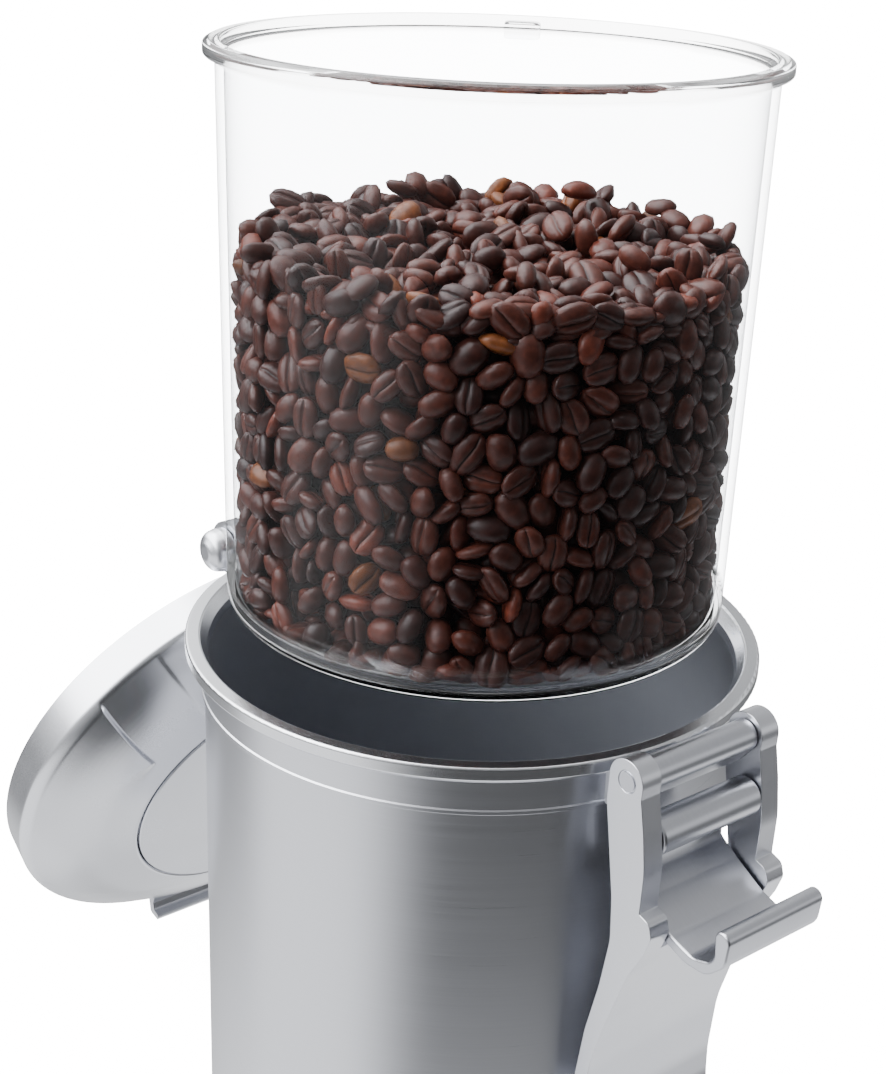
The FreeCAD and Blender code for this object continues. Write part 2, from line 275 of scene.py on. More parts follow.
def clear_plastic(name, colour, low, high):
    """Polished clear moulding from height low to high, in metres.

    The thin wall lets light straight through, with a sheen that grows as the sixth power of Facing
    towards its edges. The rim and the foot are solid and bend the light.
    """
    material = bpy.data.materials.new(name)
    graph = Graph(material)
    place = graph.place()
    haze = graph.noise(place, 160.0, 3.0)
    solid = graph.add(
        "ShaderNodeBsdfPrincipled",
        None,
        {
            "Base Color": graph.mix(haze, rgb([c ** 0.35 for c in colour]), rgb([c ** 0.3 for c in colour])),
            "Roughness": 0.010 + haze * 0.02,
            "Normal": graph.bump(graph.noise(place, 28.0, 2.0), 0.03, 0.0004),
            "Transmission Weight": 1.0,
            "IOR": 1.47,
            "Specular IOR Level": 0.3,
        },
    )
    facing = graph.add("ShaderNodeLayerWeight", None, {"Blend": 0.5}, out=1)
    clear = graph.add("ShaderNodeBsdfTransparent", None, {"Color": rgb(colour)})
    sheen = graph.add("ShaderNodeBsdfGlossy", None, {"Color": rgb((1.0, 1.0, 1.0)), "Roughness": 0.0})
    thin = graph.add("ShaderNodeMixShader", None, {0: facing ** 6.0 * 0.75 + 0.012, 1: clear, 2: sheen})
    height = graph.parts(place)[2]
    wall = height.step(low + 0.006, low + 0.010) * height.step(high - 0.004, high - 0.006)
    graph.finish(graph.add("ShaderNodeMixShader", None, {0: wall, 1: solid, 2: thin}))
    return material


def roasted(name):
    """Roasted bean skin: each bean's own roast, with painted shade in its crease and on the dark core, mottled, with
    oily patches and fine wrinkles.
    """

    def varying(graph):
        # the colour attribute holds each bean's roast and the painted shade of its crease and of the dark core
        roast = graph.add("ShaderNodeAttribute", {"attribute_name": "roast"})
        place = graph.place()
        mottle = graph.noise(place, 420.0, 3.0)
        wrinkle = graph.noise(place, 800.0, 3.0, 0.6)
        oil = graph.noise(place, 150.0, 2.0)
        dark = graph.mix(1.0, roast, (0.62, 0.58, 0.56, 1.0), "MULTIPLY")
        return {
            "Base Color": graph.mix(mottle.step(0.35, 0.7), dark, roast),
            "Roughness": 0.26 + oil * 0.26,
            "Normal": graph.bump(wrinkle * 0.4 + mottle * 0.6, 0.18, 0.0004),
        }

    return principled(name, varying, {"Metallic": 0.0, "Specular IOR Level": 0.38})


# ---- surfaces ----


def new_object(name, verts, quads, smooth_angle=None, material=None):
    """A mesh object from vertex rows in metres and rows of face corners."""
    mesh = bpy.data.meshes.new(name)
    mesh.from_pydata(np.asarray(verts).tolist(), [], [list(map(int, f)) for f in quads])
    mesh.update()
    mesh.shade_smooth()
    if smooth_angle is not None:
        mesh.set_sharp_from_angle(angle=math.radians(smooth_angle))
    obj = bpy.data.objects.new(name, mesh)
    bpy.context.scene.collection.objects.link(obj)
    if material is not None:
        mesh.materials.append(material)
    return obj


def grid_faces(rows, columns, wrap_rows=False, wrap_columns=False):
    """Corner indices of the quads between neighbouring rows and columns of a vertex grid."""
    i = np.arange(rows if wrap_rows else rows - 1)
    j = np.arange(columns if wrap_columns else columns - 1)
    i, j = np.meshgrid(i, j, indexing="ij")
    a = i * columns + j
    b = i * columns + (j + 1) % columns
    c = ((i + 1) % rows) * columns + (j + 1) % columns
    d = ((i + 1) % rows) * columns + j
    return np.stack([a, b, c, d], -1).reshape(-1, 4)


def rounded_profile(points, arc_steps=6):
    """Corner points (r, z, radius) as a polyline, each corner an arc tangent to both its sides.

    A corner of inner angle 2h and radius R takes R / tan h of each side; where two corners ask for
    more than the side between them has, both are given the same share of what they asked for.
    """
    points = np.array(points, float)
    flat, radii = points[:, :2], points[:, 2]
    after = np.roll(flat, -1, 0) - flat
    length = np.linalg.norm(after, axis=1)
    after = after / length[:, None]
    before = -np.roll(after, 1, 0)
    half = np.arccos(np.clip((before * after).sum(1), -1, 1)) / 2
    sharp = (radii <= 0) | (half > 1.56)
    asked = np.where(sharp, 0.0, radii / np.tan(half))
    share = np.minimum(1.0, 0.98 * length / np.maximum(asked + np.roll(asked, -1), 1e-9))
    reaches = asked * np.minimum(share, np.roll(share, 1))
    out = []
    for here, to_before, to_after, reach, h, plain in zip(flat, before, after, reaches, half, sharp):
        if plain:
            out.append(here[None])
            continue
        radius = reach * math.tan(h)
        bisector = (to_before + to_after) / np.linalg.norm(to_before + to_after)
        centre = here + bisector * radius / math.sin(h)
        start = here + to_before * reach - centre
        sign = np.sign(start[0] * (here - centre)[1] - start[1] * (here - centre)[0])
        t = np.linspace(0, math.pi - 2 * h, arc_steps + 1) * sign
        out.append(centre + np.stack([start[0] * np.cos(t) - start[1] * np.sin(t),
                                      start[0] * np.sin(t) + start[1] * np.cos(t)], -1))
    return np.concatenate(out)


def lathe(profile, segments=192, angles=None):
    """Each profile point (r, z) carried round Z: x = r cos a, y = r sin a; the profile is closed."""
    a = np.linspace(0, 2 * math.pi, segments, endpoint=False) if angles is None else angles
    segments = len(a)
    r, z = profile[:, :1], profile[:, 1:]
    verts = np.stack([r * np.cos(a), r * np.sin(a), np.broadcast_to(z, (len(z), segments))], -1)
    return verts.reshape(-1, 3), grid_faces(len(profile), segments, wrap_rows=True, wrap_columns=True)


def evened(profile, step):
    """A closed polyline with extra points so that no run is longer than step."""
    ahead = np.roll(profile, -1, 0)
    pieces = np.maximum(1, np.ceil(np.linalg.norm(ahead - profile, axis=1) / step)).astype(int)
    return np.concatenate(
        [a + (b - a) * np.linspace(0, 1, n, endpoint=False)[:, None] for a, b, n in zip(profile, ahead, pieces)]
    )


def smooth(x, low, high):
    """Smoothstep of x: 0 at low, 1 at high; with q = (x - low) / (high - low) it is q * q * (3 - 2 q)."""
    q = np.clip((x - low) / (high - low), 0, 1)
    return q * q * (3 - 2 * q)


# spans of the angle from the lid's front, in degrees, with the spacing of the mesh's columns there
LID_STATIONS = ((0, 45, 1.25), (45, 62, 0.6), (62, 118, 1.25), (118, 130, 0.24), (130, 142, 1.2), (142, 147, 0.35),
                (147, 180, 1.1), (180, 181, 1))


def lid_relief(r, a):
    """Height of the lid's pressed relief at radius r and angle a from the front, in mm and degrees.

    Each side has a pad whose inner edge runs from r = 57 at a = 121 outward by 0.19 per degree and
    softens away from there; its ends are two near-radial edges. Behind a = 144 the crown is a
    little higher. Each edge is a smoothstep of the distance to it.
    """
    inner = 57 + (121 - a) * 0.19
    soft = 1.5 + np.clip(121 - a, 0, None) * 0.9
    pad = smooth((r - inner) / soft, -0.5, 0.5)
    rear = smooth((121 + (r - 57) * 0.26 - a) * r * math.pi / 180, -0.7, 0.7)
    front = smooth((a - 47 - (r - 71) * 1.44) * r * math.pi / 180, -1.0, 1.0)
    edge = 1 - smooth(r, 80.5, 83.0)
    return 1.05 * pad * rear * front * edge + 0.3 * smooth((a - 144) * r * math.pi / 180, -0.8, 0.8) * edge


def outward(mesh):
    """Turn a closed mesh's faces outwards."""
    form = bmesh.new()
    form.from_mesh(mesh)
    bmesh.ops.recalc_face_normals(form, faces=form.faces)
    form.to_mesh(mesh)
    form.free()


def side_piece(name, corners, half_width, material=None):
    """A side profile of (distance in front of the axis, height above the rim, radius) run across X.

    Each corner is an arc tangent to both its sides; the outline is repeated at x = -w and x = +w.
    """
    outline = rounded_profile(corners, 12)
    count = len(outline)
    y, z = -outline[:, 0], outline[:, 1] + RIM_Z / MM
    ends = [np.column_stack([np.full(count, x), y, z]) for x in (-half_width, half_width)]
    quads = grid_faces(2, count, wrap_columns=True).tolist()
    caps = [list(range(count)), list(range(2 * count - 1, count - 1, -1))]
    made = new_object(name, np.concatenate(ends) * MM, quads + caps, None, material and bpy.data.materials[material])
    outward(made.data)
    return made


def cut_away(body, tools):
    """Take each tool's space out of a body, then delete the tools."""
    for tool in tools:
        cut = body.modifiers.new("cut", "BOOLEAN")
        cut.operation = "DIFFERENCE"
        cut.solver = "EXACT"
        cut.object = tool
    ready = body.evaluated_get(bpy.context.evaluated_depsgraph_get())
    mesh = bpy.data.meshes.new_from_object(ready)
    body.modifiers.clear()
    body.data = mesh
    for tool in tools:
        bpy.data.objects.remove(tool)


def soften(body, width):
    """Round the sharp edges of a piece and shade it smooth."""
    edge = body.modifiers.new("edge", "BEVEL")
    edge.limit_method = "ANGLE"
    edge.angle_limit = math.radians(38)
    edge.width = width * MM
    edge.segments = 3
    edge.harden_normals = True
    body.data.shade_smooth()


# ---- beans ----

BEAN_RINGS = 5
BEAN_CORNERS = 12
CREASE = 8
WALL_GAP = 0.25
BASE_GAP = 0.3
PUSH = 0.28


def bean_form():
    """One bean of unit half sizes: a super-ellipse along x, domed above and creased below.

    Ring k stands at s = sin of an even angle, its radius is (1 - |s|^2.4)^0.5, and its twelve corners
    follow a dome for z > 0 and a nearly flat face with a sunk, slightly waved groove for z < 0.
    """
    around = np.array(
        [(-1.0, 0.0), (-0.66, 0.72), (0.0, 1.0), (0.66, 0.72), (1.0, 0.0), (0.84, -0.40),
         (0.42, -0.60), (0.085, -0.64), (0.0, -0.28), (-0.085, -0.64), (-0.42, -0.60), (-0.84, -0.40)]
    )
    s = np.sin(np.linspace(-math.pi / 2, math.pi / 2, BEAN_RINGS + 2)[1:-1] * 0.93)
    radius = (1 - np.abs(s) ** 2.4) ** 0.5
    y = around[:, 0] * radius[:, None]
    groove = np.zeros(BEAN_CORNERS)
    groove[CREASE - 1 : CREASE + 2] = 1.0
    y = y + groove * 0.08 * np.sin(s * math.pi)[:, None]
    z = around[:, 1] * radius[:, None]
    x = np.broadcast_to(s[:, None], y.shape)
    body = np.stack([x, y, z], -1).reshape(-1, 3)
    verts = np.concatenate([body, [(-1.0, 0.0, 0.05), (1.0, 0.0, 0.05)]])
    count = BEAN_CORNERS
    quads = grid_faces(BEAN_RINGS, count, wrap_columns=True)
    j = np.arange(count)
    pole = BEAN_RINGS * count
    first = np.stack([np.full(count, pole), (j + 1) % count, j], -1)
    last_ring = pole - count
    last = np.stack([np.full(count, pole + 1), last_ring + j, last_ring + (j + 1) % count], -1)
    return verts, quads[:, ::-1], np.concatenate([first, last])[:, ::-1]


def towards(long, wide, angle):
    """An ellipse's radius at an angle from its long axis: a b / sqrt((b cos)^2 + (a sin)^2)."""
    return long * wide / np.sqrt((wide * np.cos(angle)) ** 2 + (long * np.sin(angle)) ** 2)


def settled(rng, count, width, height, half_long, half_wide, turn, disc=False, rounds=70):
    """Spots for lying beans: ellipses pushed apart until they hardly overlap.

    They lie on a disc of radius width, or on a strip of width by height whose ends meet. A pair's
    contact distance is the sum of both ellipses' radii towards each other; each round moves every
    bean by a share of what its overlaps add up to.
    """
    if disc:
        radius = width * np.sqrt(rng.random(count))
        angle = rng.random(count) * 2 * math.pi
        spot = np.stack([radius * np.cos(angle), radius * np.sin(angle)], -1)
    else:
        spot = rng.random((count, 2)) * (width, height)
    for _ in range(rounds):
        gap = spot[None] - spot[:, None]
        if not disc:
            gap[..., 0] -= width * np.round(gap[..., 0] / width)
        far = np.linalg.norm(gap, axis=-1) + 1e-9
        np.fill_diagonal(far, 1e9)
        heading = np.arctan2(gap[..., 1], gap[..., 0])
        mine = towards(half_long[:, None], half_wide[:, None], heading - turn[:, None])
        theirs = towards(half_long[None], half_wide[None], heading - turn[None])
        push = np.clip(mine + theirs - far, 0, None)
        spot = spot - (gap / far[..., None] * push[..., None]).sum(1) * PUSH
        if disc:
            out = np.linalg.norm(spot, axis=-1)
            spot *= np.minimum(1.0, width / np.maximum(out, 1e-9))[:, None]
        else:
            spot[:, 1] = np.clip(spot[:, 1], 0, height)
            spot[:, 0] %= width
    return spot


def axes_from(along, normal):
    """Rotation rows to columns: x along the bean, z its domed side, y the cross product."""
    normal = normal / np.linalg.norm(normal, axis=-1, keepdims=True)
    along = along - (along * normal).sum(-1, keepdims=True) * normal
    along = along / np.linalg.norm(along, axis=-1, keepdims=True)
    side = np.cross(normal, along)
    return np.stack([along, side, normal], -1)


def inner_radius(z):
    """The container's inside radius at a height above its underside, both in millimetres."""
    c = cup()
    return c.foot_radius - c.wall + (c.top_radius - c.foot_radius) * z / c.height


def bean_sizes(rng, count):
    """Half length, half width and half thickness of each bean in millimetres."""
    size = rng.normal(1.0, 0.085, count).clip(0.80, 1.22)
    return np.stack(
        [4.95 * size, 3.65 * size * rng.normal(1, 0.05, count), 2.65 * size * rng.normal(1, 0.07, count)], -1
    )


def roast_colours(rng, count):
    """A dark brown for most beans, a redder or paler one for some, in linear colour."""
    dark = np.array((0.032, 0.0092, 0.0076))
    brown = np.array((0.150, 0.038, 0.0225))
    pale = np.array((0.34, 0.105, 0.028))
    t = rng.beta(1.7, 2.2, count)[:, None]
    colour = dark * (1 - t) + brown * t
    odd = rng.random(count)[:, None]
    colour = np.where(odd < 0.035, pale * (0.45 + 0.5 * t), colour)
    return np.where((odd > 0.035) & (odd < 0.14), colour * (1.7, 1.5, 1.35), colour)


def paint(obj, colours):
    """Give a mesh one colour per vertex: the beans' roast, with painted shade where the caller has darkened it."""
    tint = obj.data.color_attributes.new("roast", "FLOAT_COLOR", "POINT")
    tint.data.foreach_set("color", np.asarray(colours, np.float32).reshape(-1))


def spill(name, centre, axes, sizes, colours):
    """One mesh of many beans: each form is scaled by its half sizes, turned by its axes and moved.

    A bean that reaches past the wall is moved towards the axis by its furthest point's excess, and
    one that reaches below the base is lifted. Its crease is painted darker: a painted shade in the groove.
    """
    form, quads, tris = bean_form()
    points = np.einsum("nij,nvj->nvi", axes, form[None] * sizes[:, None]) + centre[:, None]
    reach = np.hypot(points[..., 0], points[..., 1]) - inner_radius(points[..., 2]) + WALL_GAP
    over = np.clip(reach.max(1), 0, None)
    inward = centre[:, :2] / (np.linalg.norm(centre[:, :2], axis=-1, keepdims=True) + 1e-9)
    points[..., :2] -= (inward * over[:, None])[:, None]
    low = points[..., 2].min(1)
    points[..., 2] += np.clip(cup().base + BASE_GAP - low, 0, None)[:, None]
    count, each = points.shape[:2]
    shift = (np.arange(count) * each)[:, None, None]
    faces = (quads[None] + shift).reshape(-1, 4).tolist() + (tris[None] + shift).reshape(-1, 3).tolist()
    points[..., 2] += CUP_LOW.z / MM
    obj = new_object(name, points.reshape(-1, 3) * MM, faces, material=bpy.data.materials["roasted_skin"])
    shade = np.ones((count, each, 4))
    shade[..., :3] = colours[:, None]
    # painted shade: the groove's bottom corner on every ring is darkened to a quarter of the bean's colour
    shade[:, CREASE : BEAN_RINGS * BEAN_CORNERS : BEAN_CORNERS, :3] *= 0.25
    paint(obj, shade)
    return obj


def wall_beans(name, rng, count, depth, low, high):
    """Beans against the container's wall, long axis along the wall at any turn, some on edge."""
    sizes = bean_sizes(rng, count)
    turn = rng.random(count) * math.pi
    on_edge = rng.random(count) < 0.28
    wide = np.where(on_edge, sizes[:, 2] * 1.1, sizes[:, 1])
    radius = inner_radius((low + high) / 2) - depth
    spot = settled(rng, count, 2 * math.pi * radius, high - low, sizes[:, 0], wide, turn)
    angle = spot[:, 0] / radius
    out = np.stack([np.cos(angle), np.sin(angle), np.zeros(count)], -1)
    side = np.stack([-np.sin(angle), np.cos(angle), np.zeros(count)], -1)
    up = np.array((0.0, 0.0, 1.0))
    along = side * np.cos(turn)[:, None] + up * np.sin(turn)[:, None]
    face = np.where(rng.random(count) < 0.5, 1.0, -1.0)[:, None]
    tilt = rng.normal(0, 0.32, (count, 3))
    normal = out * face + tilt
    edge_dir = np.cross(along, out)
    normal = np.where(on_edge[:, None], edge_dir + out * 0.45 * face + tilt, normal)
    thick = np.where(on_edge, sizes[:, 1], sizes[:, 2])
    along = along + rng.normal(0, 0.12, (count, 3))
    z = low + spot[:, 1]
    r = inner_radius(z) - depth - thick - np.abs(rng.normal(0, 1.0, count))
    centre = out * r[:, None]
    centre[:, 2] = z
    return spill(name, centre, axes_from(along, normal), sizes, roast_colours(rng, count))


def level_beans(name, rng, count, radius, height, slope, jitter, tilt, upward):
    """Beans lying on a near-level disc whose height is height + slope . (x, y)."""
    sizes = bean_sizes(rng, count)
    turn = rng.random(count) * 2 * math.pi
    spot = settled(rng, count, radius, 0, sizes[:, 0], sizes[:, 1], turn, disc=True)
    along = np.stack([np.cos(turn), np.sin(turn), np.zeros(count)], -1) + rng.normal(0, tilt, (count, 3))
    face = np.where(rng.random(count) < upward, 1.0, -1.0)[:, None]
    normal = np.array((0.0, 0.0, 1.0)) * face + rng.normal(0, tilt, (count, 3))
    z = height + spot @ np.array(slope) + rng.normal(0, jitter, count)
    centre = np.column_stack([spot, z])
    return spill(name, centre, axes_from(along, normal), sizes, roast_colours(rng, count))


# ---- settings ----


class CANISTER_PG_container(bpy.types.PropertyGroup):
    """The clear container's sizes, in millimetres, and its tint"""

    height: bpy.props.FloatProperty(name="Height", description="Container height in millimetres", default=149.1)
    foot_radius: bpy.props.FloatProperty(name="Foot radius", description="Outside radius at the foot, mm", default=68.2)
    top_radius: bpy.props.FloatProperty(name="Top radius", description="Outside radius under the rim, mm", default=69.8)
    rim_radius: bpy.props.FloatProperty(name="Rim radius", description="Outside radius of the rim, mm", default=72.75)
    rim_height: bpy.props.FloatProperty(name="Rim height", description="Height of the rim, mm", default=3.6)
    wall: bpy.props.FloatProperty(name="Wall", description="Wall thickness, mm", default=2.2)
    base: bpy.props.FloatProperty(name="Base", description="Base thickness, mm", default=3.0)
    tab_width: bpy.props.FloatProperty(name="Tab width", description="Width of the thumb tab, mm", default=10.6)
    tab_height: bpy.props.FloatProperty(name="Tab height", description="Height of the thumb tab, mm", default=5.0)
    tab_angle: bpy.props.FloatProperty(
        name="Tab angle", description="Bearing of the thumb tab", subtype="ANGLE", default=math.radians(44.0))
    tint: bpy.props.FloatVectorProperty(
        name="Tint", description="Colour of the clear plastic", subtype="COLOR", default=(0.892, 0.897, 0.904))


class CANISTER_PG_lid(bpy.types.PropertyGroup):
    """The lid's sizes, in millimetres"""

    skirt_radius: bpy.props.FloatProperty(
        name="Skirt radius", description="Outside radius at the lower edge, mm", default=82.3)
    shoulder_radius: bpy.props.FloatProperty(
        name="Shoulder radius", description="Outside radius at the shoulder, mm", default=83.2)
    skirt_low: bpy.props.FloatProperty(name="Skirt low", description="Lower edge above the can's rim, mm", default=-4.0)
    shoulder: bpy.props.FloatProperty(name="Shoulder", description="Shoulder above the can's rim, mm", default=9.2)
    seat_radius: bpy.props.FloatProperty(name="Seat radius", description="Radius of the centre disc, mm", default=48.3)
    top: bpy.props.FloatProperty(name="Top", description="Top above the can's rim, mm", default=25.8)
    wall: bpy.props.FloatProperty(name="Wall", description="Sheet thickness, mm", default=1.6)


class CANISTER_PG_clamp(bpy.types.PropertyGroup):
    """The lever's and the hook's sizes, in millimetres"""

    arm_outer: bpy.props.FloatProperty(name="Arm outer", description="Half the lever's width, mm", default=24.0)
    arm_inner: bpy.props.FloatProperty(name="Arm inner", description="Half the gap between the arms, mm", default=17.6)
    hook_half: bpy.props.FloatProperty(name="Hook half", description="Half the hook's width, mm", default=17.0)
    pivot_out: bpy.props.FloatProperty(name="Pivot out", description="Lever pin in front of the axis, mm", default=87.2)
    pivot_up: bpy.props.FloatProperty(name="Pivot up", description="Lever pin above the rim, mm", default=-0.5)
    edge: bpy.props.FloatProperty(name="Edge", description="Rounding of the edges, mm", default=0.9)


class CANISTER_PG_beans(bpy.types.PropertyGroup):
    """How many beans lie where"""

    outer: bpy.props.IntProperty(name="Outer", description="Beans against the wall", default=760)
    inner: bpy.props.IntProperty(name="Inner", description="Beans behind those", default=620)
    heap: bpy.props.IntProperty(name="Heap", description="Beans on top", default=330)
    under: bpy.props.IntProperty(name="Under", description="Beans just below the top", default=280)
    floor: bpy.props.IntProperty(name="Floor", description="Beans on the base", default=290)
    level: bpy.props.FloatProperty(name="Level", description="Heap height above the underside, mm", default=98.0)


class CANISTER_PG_finish(bpy.types.PropertyGroup):
    """The colours of the can's finishes"""

    wall: bpy.props.FloatVectorProperty(
        name="Wall", description="Can wall metal", subtype="COLOR", default=(0.66, 0.67, 0.71))
    rim: bpy.props.FloatVectorProperty(
        name="Rim", description="Mouth ring metal", subtype="COLOR", default=(0.76, 0.77, 0.80))
    cast: bpy.props.FloatVectorProperty(
        name="Castings", description="Lever and hinge castings", subtype="COLOR", default=(0.70, 0.71, 0.75))
    bars: bpy.props.FloatVectorProperty(
        name="Bars", description="Barrels, hook and pins", subtype="COLOR", default=(0.58, 0.59, 0.63))
    lid: bpy.props.FloatVectorProperty(
        name="Lid", description="Lid metal", subtype="COLOR", default=(0.74, 0.75, 0.79))
    liner: bpy.props.FloatVectorProperty(
        name="Liner", description="Inside of the can", subtype="COLOR", default=(0.31, 0.325, 0.365))


def cup():
    """The container's settings."""
    return bpy.context.scene.canister_container


def settings():
    """Every group of settings on the scene."""
    return [getattr(bpy.context.scene, key) for key in GROUPS]


# ---- operators ----


class CANISTER_OT_finishes(bpy.types.Operator):
    """Make the finishes and put them on the frame's metal, plastic and rubber pieces"""

    bl_idname = "canister.finishes"
    bl_label = "Finishes"

    def execute(self, context):
        finish = context.scene.canister_finish
        wall = brushed_round("satin_wall", finish.wall, 0.30, 0.10, 0.00005)
        rim = brushed_round("satin_rim", finish.rim, 0.24, 0.08, 0.00004)
        cast = cast_satin("cast_satin", finish.cast, 0.30)
        bars = brushed_along("satin_bar", finish.bars, 0.30, (1500.0, 260.0, 260.0))
        strip = brushed_along("satin_strip", finish.bars, 0.32, (2600.0, 260.0, 260.0))
        lid = cast_satin("lid_satin", finish.lid, 0.26)
        liner = moulded("dark_liner", finish.liner, 0.40, 900.0, 0.03)
        grey = moulded("lid_moulding", (0.30, 0.31, 0.33), 0.45)
        seal = moulded("clear_silicone", (0.62, 0.62, 0.60), 0.50, 700.0)
        foot = moulded("foot_rubber", (0.03, 0.03, 0.033), 0.70, 1400.0, 0.2)
        roasted("roasted_skin")
        clear_plastic("clear_cup", context.scene.canister_container.tint, CUP_LOW.z, CUP_HIGH.z)
        coats = {
            wall: ("can_shell", "can_base", "neck_collar"),
            rim: ("rim_ring",),
            cast: ("clamp_bracket", "hinge_bracket", "lid_knuckle", "lid_keeper", "pin_caps"),
            bars: ("bracket_barrel", "hook_barrel", "lever_pin", "hook_pin", "hinge_pin", "hinge_washers"),
            lid: ("lid_disc",),
            liner: ("inner_sleeve", "floor_riser"),
            grey: ("lid_inner_plate", "lid_plug"),
            seal: ("lid_gasket",),
            foot: ("foot_pad",),
        }
        for material, nodes in coats.items():
            for node in nodes:
                mesh = frame["nodes"][node].data
                mesh.materials.clear()
                mesh.materials.append(material)
        return {"FINISHED"}


class CANISTER_OT_lever(bpy.types.Operator):
    """Make the lever: a curved handle and two arms, windowed between, with softened edges"""

    bl_idname = "canister.lever"
    bl_label = "Lever"

    def execute(self, context):
        c = context.scene.canister_clamp
        body = side_piece(
            "lever_casting",
            [
                (81.5, 5.2, 5.6),
                (92.9, 5.2, 5.6),
                (92.3, -3.4, 3.0),
                (94.0, -12.0, 14),
                (95.3, -22.0, 30),
                (94.9, -33.6, 0.4),
                (98.4, -34.7, 2.3),
                (99.5, -38.3, 2.9),
                (97.5, -43.9, 5.0),
                (92.8, -53.0, 30),
                (86.6, -71.0, 40),
                (82.4, -86.0, 40),
                (81.0, -103.0, 40),
                (81.4, -114.0, 30),
                (84.6, -124.0, 1.4),
                (82.3, -125.0, 1.4),
                (77.6, -114.0, 20),
                (76.4, -99.0, 30),
                (79.6, -77.0, 40),
                (83.4, -61.0, 40),
                (85.9, -46.0, 20),
                (85.2, -34.0, 30),
                (82.6, -18.0, 30),
                (80.9, -8.0, 12),
            ],
            c.arm_outer,
            "cast_satin",
        )
        window = side_piece(
            "window",
            [(60, -42.8, 0), (95.5, -42.8, 1.0), (98.4, -45.6, 1.0), (112, -45.8, 0), (112, 20, 0), (60, 20, 0)],
            c.arm_inner,
        )
        rings = []
        for side in (-1, 1):
            verts, faces = lathe(np.array([(2.3, 23.6), (2.9, 23.6), (2.9, 24.6), (2.3, 24.6)]), 48)
            x, y, z = verts.T
            spot = np.column_stack([side * z, y - c.pivot_out, x + c.pivot_up + RIM_Z / MM]) * MM
            ring = new_object("ring", spot, faces)
            outward(ring.data)
            rings.append(ring)
        cut_away(body, [window, *rings])
        soften(body, c.edge)
        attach(body, "lever")
        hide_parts("lever")
        return {"FINISHED"}


class CANISTER_OT_hook(bpy.types.Operator):
    """Make the hook's pull plate with its belly and rolled lip"""

    bl_idname = "canister.hook"
    bl_label = "Hook"

    def execute(self, context):
        c = context.scene.canister_clamp
        plate = side_piece(
            "hook_pull",
            [
                (88.0, -18.6, 0),
                (83.6, -22.6, 6.0),
                (82.0, -30.2, 5.0),
                (89.5, -35.0, 12.0),
                (99.2, -40.2, 8.0),
                (106.8, -42.2, 5.0),
                (113.6, -39.9, 3.6),
                (113.0, -30.6, 2.0),
                (118.0, -30.2, 2.4),
                (117.0, -39.4, 5.5),
                (111.4, -44.9, 6.5),
                (104.4, -45.1, 8.0),
                (97.4, -42.8, 9.0),
                (88.2, -37.8, 14.0),
                (79.2, -32.2, 7.5),
                (81.0, -20.6, 8.0),
                (86.6, -13.6, 0),
            ],
            c.hook_half,
            "satin_strip",
        )
        soften(plate, c.edge * 0.8)
        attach(plate, "hook")
        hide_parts("hook_plate")
        return {"FINISHED"}


class CANISTER_OT_container(bpy.types.Operator):
    """Make the clear container as one smooth turned wall with its rim"""

    bl_idname = "canister.container"
    bl_label = "Container"

    def execute(self, context):
        c = context.scene.canister_container
        high, foot, top = c.height, c.foot_radius, c.top_radius
        profile = rounded_profile(
            [
                (0.01, 0.6, 0),
                (foot - 9.0, 0.6, 0.4),
                (foot - 9.6, 0.0, 0.4),
                (foot, 0.0, 5.0),
                (top, high - c.rim_height, 0.5),
                (c.rim_radius, high - c.rim_height, 0.7),
                (c.rim_radius, high - 0.8, 0.8),
                (c.rim_radius - 1.6, high, 0.8),
                (top - c.wall + 1.0, high, 0.8),
                (top - c.wall, high - 2.4, 0.8),
                (foot - c.wall, c.base, 3.5),
                (0.01, c.base, 0),
            ]
        )
        verts, faces = lathe(profile)
        verts = verts * MM
        verts[:, 2] += CUP_LOW.z
        cup = new_object("container", verts, faces, 40, bpy.data.materials["clear_cup"])
        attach(cup, "container")
        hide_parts("container_cup")
        return {"FINISHED"}


